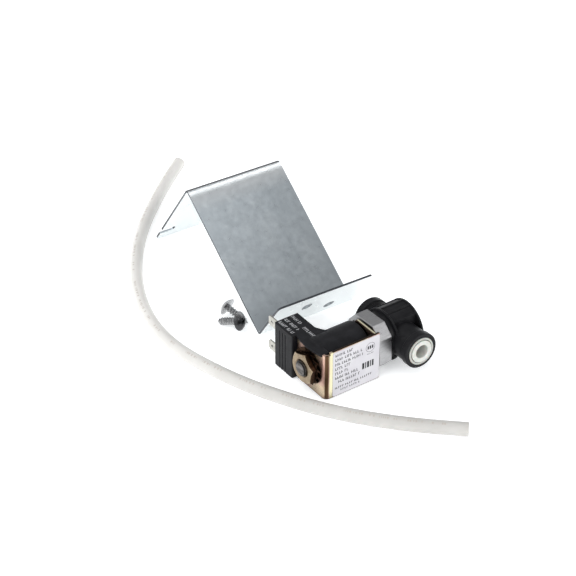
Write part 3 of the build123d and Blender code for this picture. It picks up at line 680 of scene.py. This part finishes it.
def zinc_plate():
    """Bright zinc on rolled sheet: a cloudy panel graded by painted light and shade, flanges painted pale as
    a painted reflection, a painted highlight under the ridge, and painted shade on its cut edges, its lips
    and the ridge's far side.
    """
    s = Surface("zinc_plate", Metallic=1.0)
    clouds = s.noise(14, 4, 0.6, stretch=(1, 0.6, 0.6), warp=0.3)
    colour = s.ramp(
        clouds, (0.28, (0.60, 0.655, 0.69)), (0.5, (0.66, 0.715, 0.75)), (0.72, (0.73, 0.785, 0.815)),
    )
    streaks = s.noise(2.2, 3, 0.5, stretch=(1, 0.15, 0.15))
    colour = s.mix(s.spread(streaks, 0.0, 0.16), colour, (0.46, 0.51, 0.55))
    scratches = s.noise(0.45, 2, 0.5, stretch=(0.02, 1, 1), turn=(0, 0, 0.5))
    colour = s.mix(s.spread(scratches, 0.0, 0.5, 0.78, 0.82), colour, (0.92, 0.94, 0.95))
    low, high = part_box("mounting_bracket")
    across, ahead, up = (s.axis(n) for n in range(3))
    # Painted light and shade: the panel is graded darker towards its near end (low y) and towards its high-x
    # end.
    painted_shade_ahead = s.spread(ahead, 0.72, 1.16, low.y + 20 * MM, low.y + 85 * MM)
    painted_shade_aside = s.spread(across, 1.06, 0.78, low.x, high.x)
    panel = s.spread(s.facing(2), 0.0, 1.0, 0.3, 0.5)
    tone = s.maths("MULTIPLY", painted_shade_ahead, painted_shade_aside)
    shaded = s.node("ShaderNodeCombineColor", {n: tone for n in range(3)}).outputs[0]
    # Painted reflection: faces that don't face upwards, the flanges, are made near white as though they
    # mirrored a bright floor.
    colour = s.mix(panel, (0.82, 0.85, 0.855), s.mix(1.0, colour, shaded, "MULTIPLY"))
    # Painted highlight: a pale band from 9 to 3 mm under the top of the ridge.
    colour = s.mix(s.spread(up, 0.0, 0.6, high.z - 9 * MM, high.z - 3 * MM), colour, (0.92, 0.93, 0.93))
    # Painted shade: the cut ends of the sheet, the faces facing along x, are made dark.
    cut = s.spread(s.maths("ABSOLUTE", s.facing(0)), 0.0, 1.0, 0.6, 0.8)
    aside = s.maths("ABSOLUTE", s.maths("SUBTRACT", across, (low.x + high.x) / 2))
    cut = s.maths("MULTIPLY", cut, s.spread(aside, 0.45, 1.0, 18 * MM, 20 * MM))
    # Painted shade: upward faces nearer than 44 mm in the valve's plan, the lip at the near end, are made
    # dark.
    lip = s.maths("MULTIPLY", panel, s.spread(ahead, 1.0, 0.0, plan(0, 44).y, plan(0, 46).y))
    # Painted shade: the ridge's far side, 1.3 to 1.9 mm under its top, is made dark as a dark reflection.
    back = s.maths("MULTIPLY", s.spread(s.facing(1), 0.0, 1.0, -0.35, -0.1),
                   s.spread(up, 0.0, 1.0, high.z - 1.9 * MM, high.z - 1.3 * MM))
    dark = s.maths("MAXIMUM", s.maths("MAXIMUM", cut, lip), back)
    s.join(s.mix(dark, colour, (0.10, 0.105, 0.115)), "Base Color")
    s.join(s.spread(s.noise(3.5, 4, 0.6), 0.27, 0.38), "Roughness")
    rise = s.spread(up, 0.0, 6.0, high.z - 3.6 * MM, high.z)
    bend = s.maths("MULTIPLY", s.maths("POWER", rise, 2.0), 0.035)
    grain = s.maths("MULTIPLY", s.noise(0.5, 3, 0.6, stretch=(1, 0.4, 0.4)), 0.003)
    s.normal(s.maths("SUBTRACT", grain, bend), 1.0, 0.12)
    return s.material


def screw_steel():
    """Zinc on steel, with painted shade in the threads and the recess; the front screw's dome is painted dark
    as a painted reflection.
    """
    s = Surface("screw_steel", Metallic=1.0)
    tone_and_painted_light = s.ramp(s.noise(1.4, 4), (0.3, (0.28, 0.28, 0.285)), (0.7, (0.52, 0.52, 0.525)))
    # Painted reflection: the dome of the front screw's head, nearer than 69 mm in the plan, is made dark.
    front = s.spread(s.axis(1), 1.0, 0.0, plan(0, 69.0).y, plan(0, 71.0).y)
    dome = s.maths("MULTIPLY", front, s.spread(s.facing(1), 1.0, 0.0, -0.75, -0.35))
    tone_and_painted_light = s.mix(dome, tone_and_painted_light, (0.07, 0.07, 0.073))
    # Painted shade: darkening within 1.2 mm in the threads, the recess and other crevices.
    s.join(s.mix(s.spread(s.crevice(1.2), 0.0, 1.0, 0.5, 0.95), (0.02, 0.02, 0.022), tone_and_painted_light), "Base Color")
    s.join(s.spread(s.noise(0.7, 4), 0.2, 0.34), "Roughness")
    s.normal(s.noise(0.3, 3), 0.005, 0.12)
    return s.material


def acetal(name, dull, bright, shade):
    """White acetal with a soft sheen, and shade in its grooves."""
    s = Surface(name, Roughness=0.38, Subsurface_Weight=0.15, Subsurface_Scale=1.0 * MM)
    tone = s.ramp(s.noise(2.5, 3), (0.3, dull), (0.7, bright))
    s.join(s.mix(s.spread(s.crevice(1.5), 0.0, 1.0, 0.3, 0.8), shade, tone), "Base Color")
    s.normal(s.noise(0.3, 2), 0.006, 0.2)
    return s.material


def white_acetal():
    """The cartridges' acetal, a little grey."""
    return acetal("white_acetal", (0.33, 0.335, 0.305), (0.40, 0.405, 0.37), (0.22, 0.22, 0.205))


def collet_acetal():
    """The collets' acetal, whiter than the cartridges'."""
    return acetal("collet_acetal", (0.47, 0.475, 0.44), (0.54, 0.545, 0.51), (0.40, 0.40, 0.375))


def seal_rubber():
    """Black moulded rubber."""
    s = Surface("seal_rubber", Specular_IOR_Level=0.3)
    s.join(s.ramp(s.noise(2, 3), (0.3, (0.012, 0.012, 0.012)), (0.7, (0.022, 0.022, 0.022))), "Base Color")
    s.join(s.spread(s.noise(0.8, 3), 0.5, 0.7), "Roughness")
    s.normal(s.noise(0.25, 3), 0.01)
    return s.material


def steel_mesh():
    """Fine woven steel."""
    s = Surface("steel_mesh", Metallic=1.0, Roughness=0.35)
    weave = s.maths("MULTIPLY", *(
        s.maths("SINE", s.maths("MULTIPLY", s.axis(n), 2 * pi / (0.4 * MM))) for n in (0, 1)
    ))
    s.join(s.ramp(weave, (0.2, (0.10, 0.10, 0.10)), (0.8, (0.55, 0.55, 0.55))), "Base Color")
    s.normal(weave, 0.05)
    return s.material


def tube_plastic():
    """Milky polyethylene with painted light, lighter towards its far end, and a faint row of plain print
    dashes.
    """
    s = Surface("tube_plastic", Roughness=0.34, Subsurface_Weight=0.35, Subsurface_Scale=2.0 * MM)
    s.shader.inputs["Subsurface Radius"].default_value = (1.0, 0.95, 0.9)
    along = s.node("ShaderNodeUVMap", uv_map="along").outputs["UV"]
    parts = s.node("ShaderNodeSeparateXYZ", {0: along})
    run, turn = parts.outputs[0], parts.outputs[1]
    dashes = s.node("ShaderNodeTexNoise", {
        "Vector": s.node("ShaderNodeCombineXYZ", {0: run}).outputs[0], "Scale": 900.0, "Detail": 0.0,
    }).outputs["Fac"]
    words = s.node("ShaderNodeTexNoise", {
        "Vector": s.node("ShaderNodeCombineXYZ", {0: run}).outputs[0], "Scale": 75.0, "Detail": 0.0,
    }).outputs["Fac"]
    band = s.spread(s.maths("ABSOLUTE", s.maths("SUBTRACT", turn, 0.31)), 1.0, 0.0, 0.022, 0.03)
    inked = s.maths("MULTIPLY", s.spread(dashes, 0.0, 1.0, 0.5, 0.54), s.spread(words, 0.0, 1.0, 0.45, 0.48))
    inked = s.maths("MULTIPLY", s.maths("MULTIPLY", inked, band), 0.7)
    tone = s.ramp(s.noise(12, 2), (0.3, (0.52, 0.505, 0.48)), (0.7, (0.57, 0.555, 0.53)))
    # Painted light: the tube is made darker at its near end and lighter towards its far end.
    clear = s.spread(s.axis(1), 0.80, 1.13, -90 * MM, 30 * MM)
    shaded = s.node("ShaderNodeCombineColor", {n: clear for n in range(3)}).outputs[0]
    tone = s.mix(1.0, tone, shaded, "MULTIPLY")
    s.join(s.mix(inked, tone, (0.36, 0.31, 0.27)), "Base Color")
    s.normal(s.noise(1.2, 2), 0.004, 0.1)
    return s.material


def print_ink(name, colour, rough):
    """Screen-printed ink, a little uneven."""
    s = Surface(name, Roughness=rough)
    dark = tuple(c * 0.75 for c in colour)
    s.join(s.ramp(s.noise(0.8, 3), (0.3, dark), (0.7, colour)), "Base Color")
    s.normal(s.noise(0.2, 2), 0.002, 0.02)
    return s.material


def dress(objects, material):
    """Gives objects one material."""
    for item in objects:
        item.data.materials.clear()
        item.data.materials.append(material)


def dress_frame():
    """Gives each CAD node the material that its slot in the record names."""
    makers = (
        yellow_zinc, dark_steel, label_vinyl, black_moulding, black_body, natural_plastic, copper,
        tinned_brass, stainless, bonnet_metal, zinc_plate, screw_steel, white_acetal, seal_rubber,
        steel_mesh, tube_plastic,
    )
    materials = {maker.__name__: maker() for maker in makers}
    for part in frame["record"]["subparts"]:
        dress([frame["nodes"][part["node"]]], materials[part["material_slot"]])
    return materials


# ---- stage and light ----------------------------------------------------------------------------
def floor():
    """A wide pale floor, lit a little from beneath like a photographer's light table."""
    s = Surface("floor_paper", Roughness=0.75, Specular_IOR_Level=0.2, Emission_Strength=FLOOR_GLOW)
    s.shader.inputs["Emission Color"].default_value = (0.97, 0.99, 1.0, 1.0)
    s.join(s.ramp(s.noise(60, 3), (0.3, (0.88, 0.88, 0.88)), (0.7, (0.90, 0.90, 0.90))), "Base Color")
    reach = FLOOR_REACH
    corners = [(-reach, -reach, 0), (reach, -reach, 0), (reach, reach, 0), (-reach, reach, 0)]
    sheet = mesh_from("floor", corners, [(0, 1, 2, 3)], smooth=False)
    dress([sheet], s.material)


def softbox(name, direction, distance, size, power, glints=True):
    data = bpy.data.lights.new(name, "AREA")
    data.shape = "SQUARE"
    data.size = size
    data.energy = power
    lamp = bpy.data.objects.new(name, data)
    bpy.context.scene.collection.objects.link(lamp)
    lamp.location = Vector(direction).normalized() * distance
    lamp.rotation_mode = "QUATERNION"
    lamp.rotation_quaternion = Vector(direction).to_track_quat("Z", "Y")
    lamp.visible_glossy = glints


def tent(world, gaps, colour, strength, glint):
    """A pale tent of light with darker gaps of (direction, width in degrees, level of its strength).

    Glossy rays see it no brighter than glint, so that a sheet of metal keeps its tone from every side.
    """
    world.use_nodes = True
    tree = world.node_tree
    background = tree.nodes["Background"]
    view = tree.nodes.new("ShaderNodeTexCoord").outputs["Generated"]
    shade = None
    for direction, width, level in gaps:
        aim = tree.nodes.new("ShaderNodeVectorMath")
        aim.operation = "DOT_PRODUCT"
        tree.links.new(view, aim.inputs[0])
        aim.inputs[1].default_value = Vector(direction).normalized()
        fall = tree.nodes.new("ShaderNodeMapRange")
        fall.interpolation_type = "SMOOTHSTEP"
        tree.links.new(aim.outputs["Value"], fall.inputs["Value"])
        fall.inputs["From Min"].default_value = cos(radians(width))
        fall.inputs["From Max"].default_value = cos(radians(width * 0.4))
        fall.inputs["To Min"].default_value = 1.0
        fall.inputs["To Max"].default_value = level
        if shade is None:
            shade = fall.outputs["Result"]
        else:
            both = tree.nodes.new("ShaderNodeMath")
            both.operation = "MULTIPLY"
            tree.links.new(shade, both.inputs[0])
            tree.links.new(fall.outputs["Result"], both.inputs[1])
            shade = both.outputs[0]
    power = tree.nodes.new("ShaderNodeMath")
    power.operation = "MULTIPLY"
    tree.links.new(shade, power.inputs[0])
    power.inputs[1].default_value = strength
    ceiling = tree.nodes.new("ShaderNodeMapRange")
    tree.links.new(tree.nodes.new("ShaderNodeLightPath").outputs["Is Glossy Ray"], ceiling.inputs["Value"])
    ceiling.inputs["To Min"].default_value = strength
    ceiling.inputs["To Max"].default_value = glint
    limited = tree.nodes.new("ShaderNodeMath")
    limited.operation = "MINIMUM"
    tree.links.new(power.outputs[0], limited.inputs[0])
    tree.links.new(ceiling.outputs["Result"], limited.inputs[1])
    tree.links.new(limited.outputs[0], background.inputs["Strength"])
    background.inputs["Color"].default_value = (*colour, 1.0)


def light():
    """Soft studio light: a pale tent with two gaps, a front softbox, an overhead one and a low fill."""
    world = bpy.data.worlds.new("studio")
    bpy.context.scene.world = world
    tent(world, TENT_GAPS, TENT_COLOUR, TENT_STRENGTH, TENT_GLINT)
    softbox("front_softbox", (0.47, -0.80, 0.50), 3.0, 0.9, 20)
    softbox("overhead_softbox", (0.474, 0.27, 0.84), 1.5, 0.25, 0.8)
    softbox("left_fill", (-0.85, -0.1, 0.35), 3.0, 1.8, 18, glints=False)
    view = bpy.context.scene.view_settings
    view.view_transform = "Standard"
    view.look = "None"


make_camera()
tube = water_tube()
screws = bracket_screws()
printed = label_print()
raised = moulding_print()
materials = dress_frame()
dress([tube], materials["tube_plastic"])
dress(screws, materials["screw_steel"])
dress([frame["nodes"]["coil_nut"]], nut_zinc())
dress([frame["nodes"][side + "_collet"] for side in ("outlet", "inlet")], collet_acetal())
dress([printed], print_ink("label_ink", (0.012, 0.012, 0.014), 0.6))
dress([raised], print_ink("white_ink", (0.39, 0.39, 0.40), 0.55))
floor()
light()
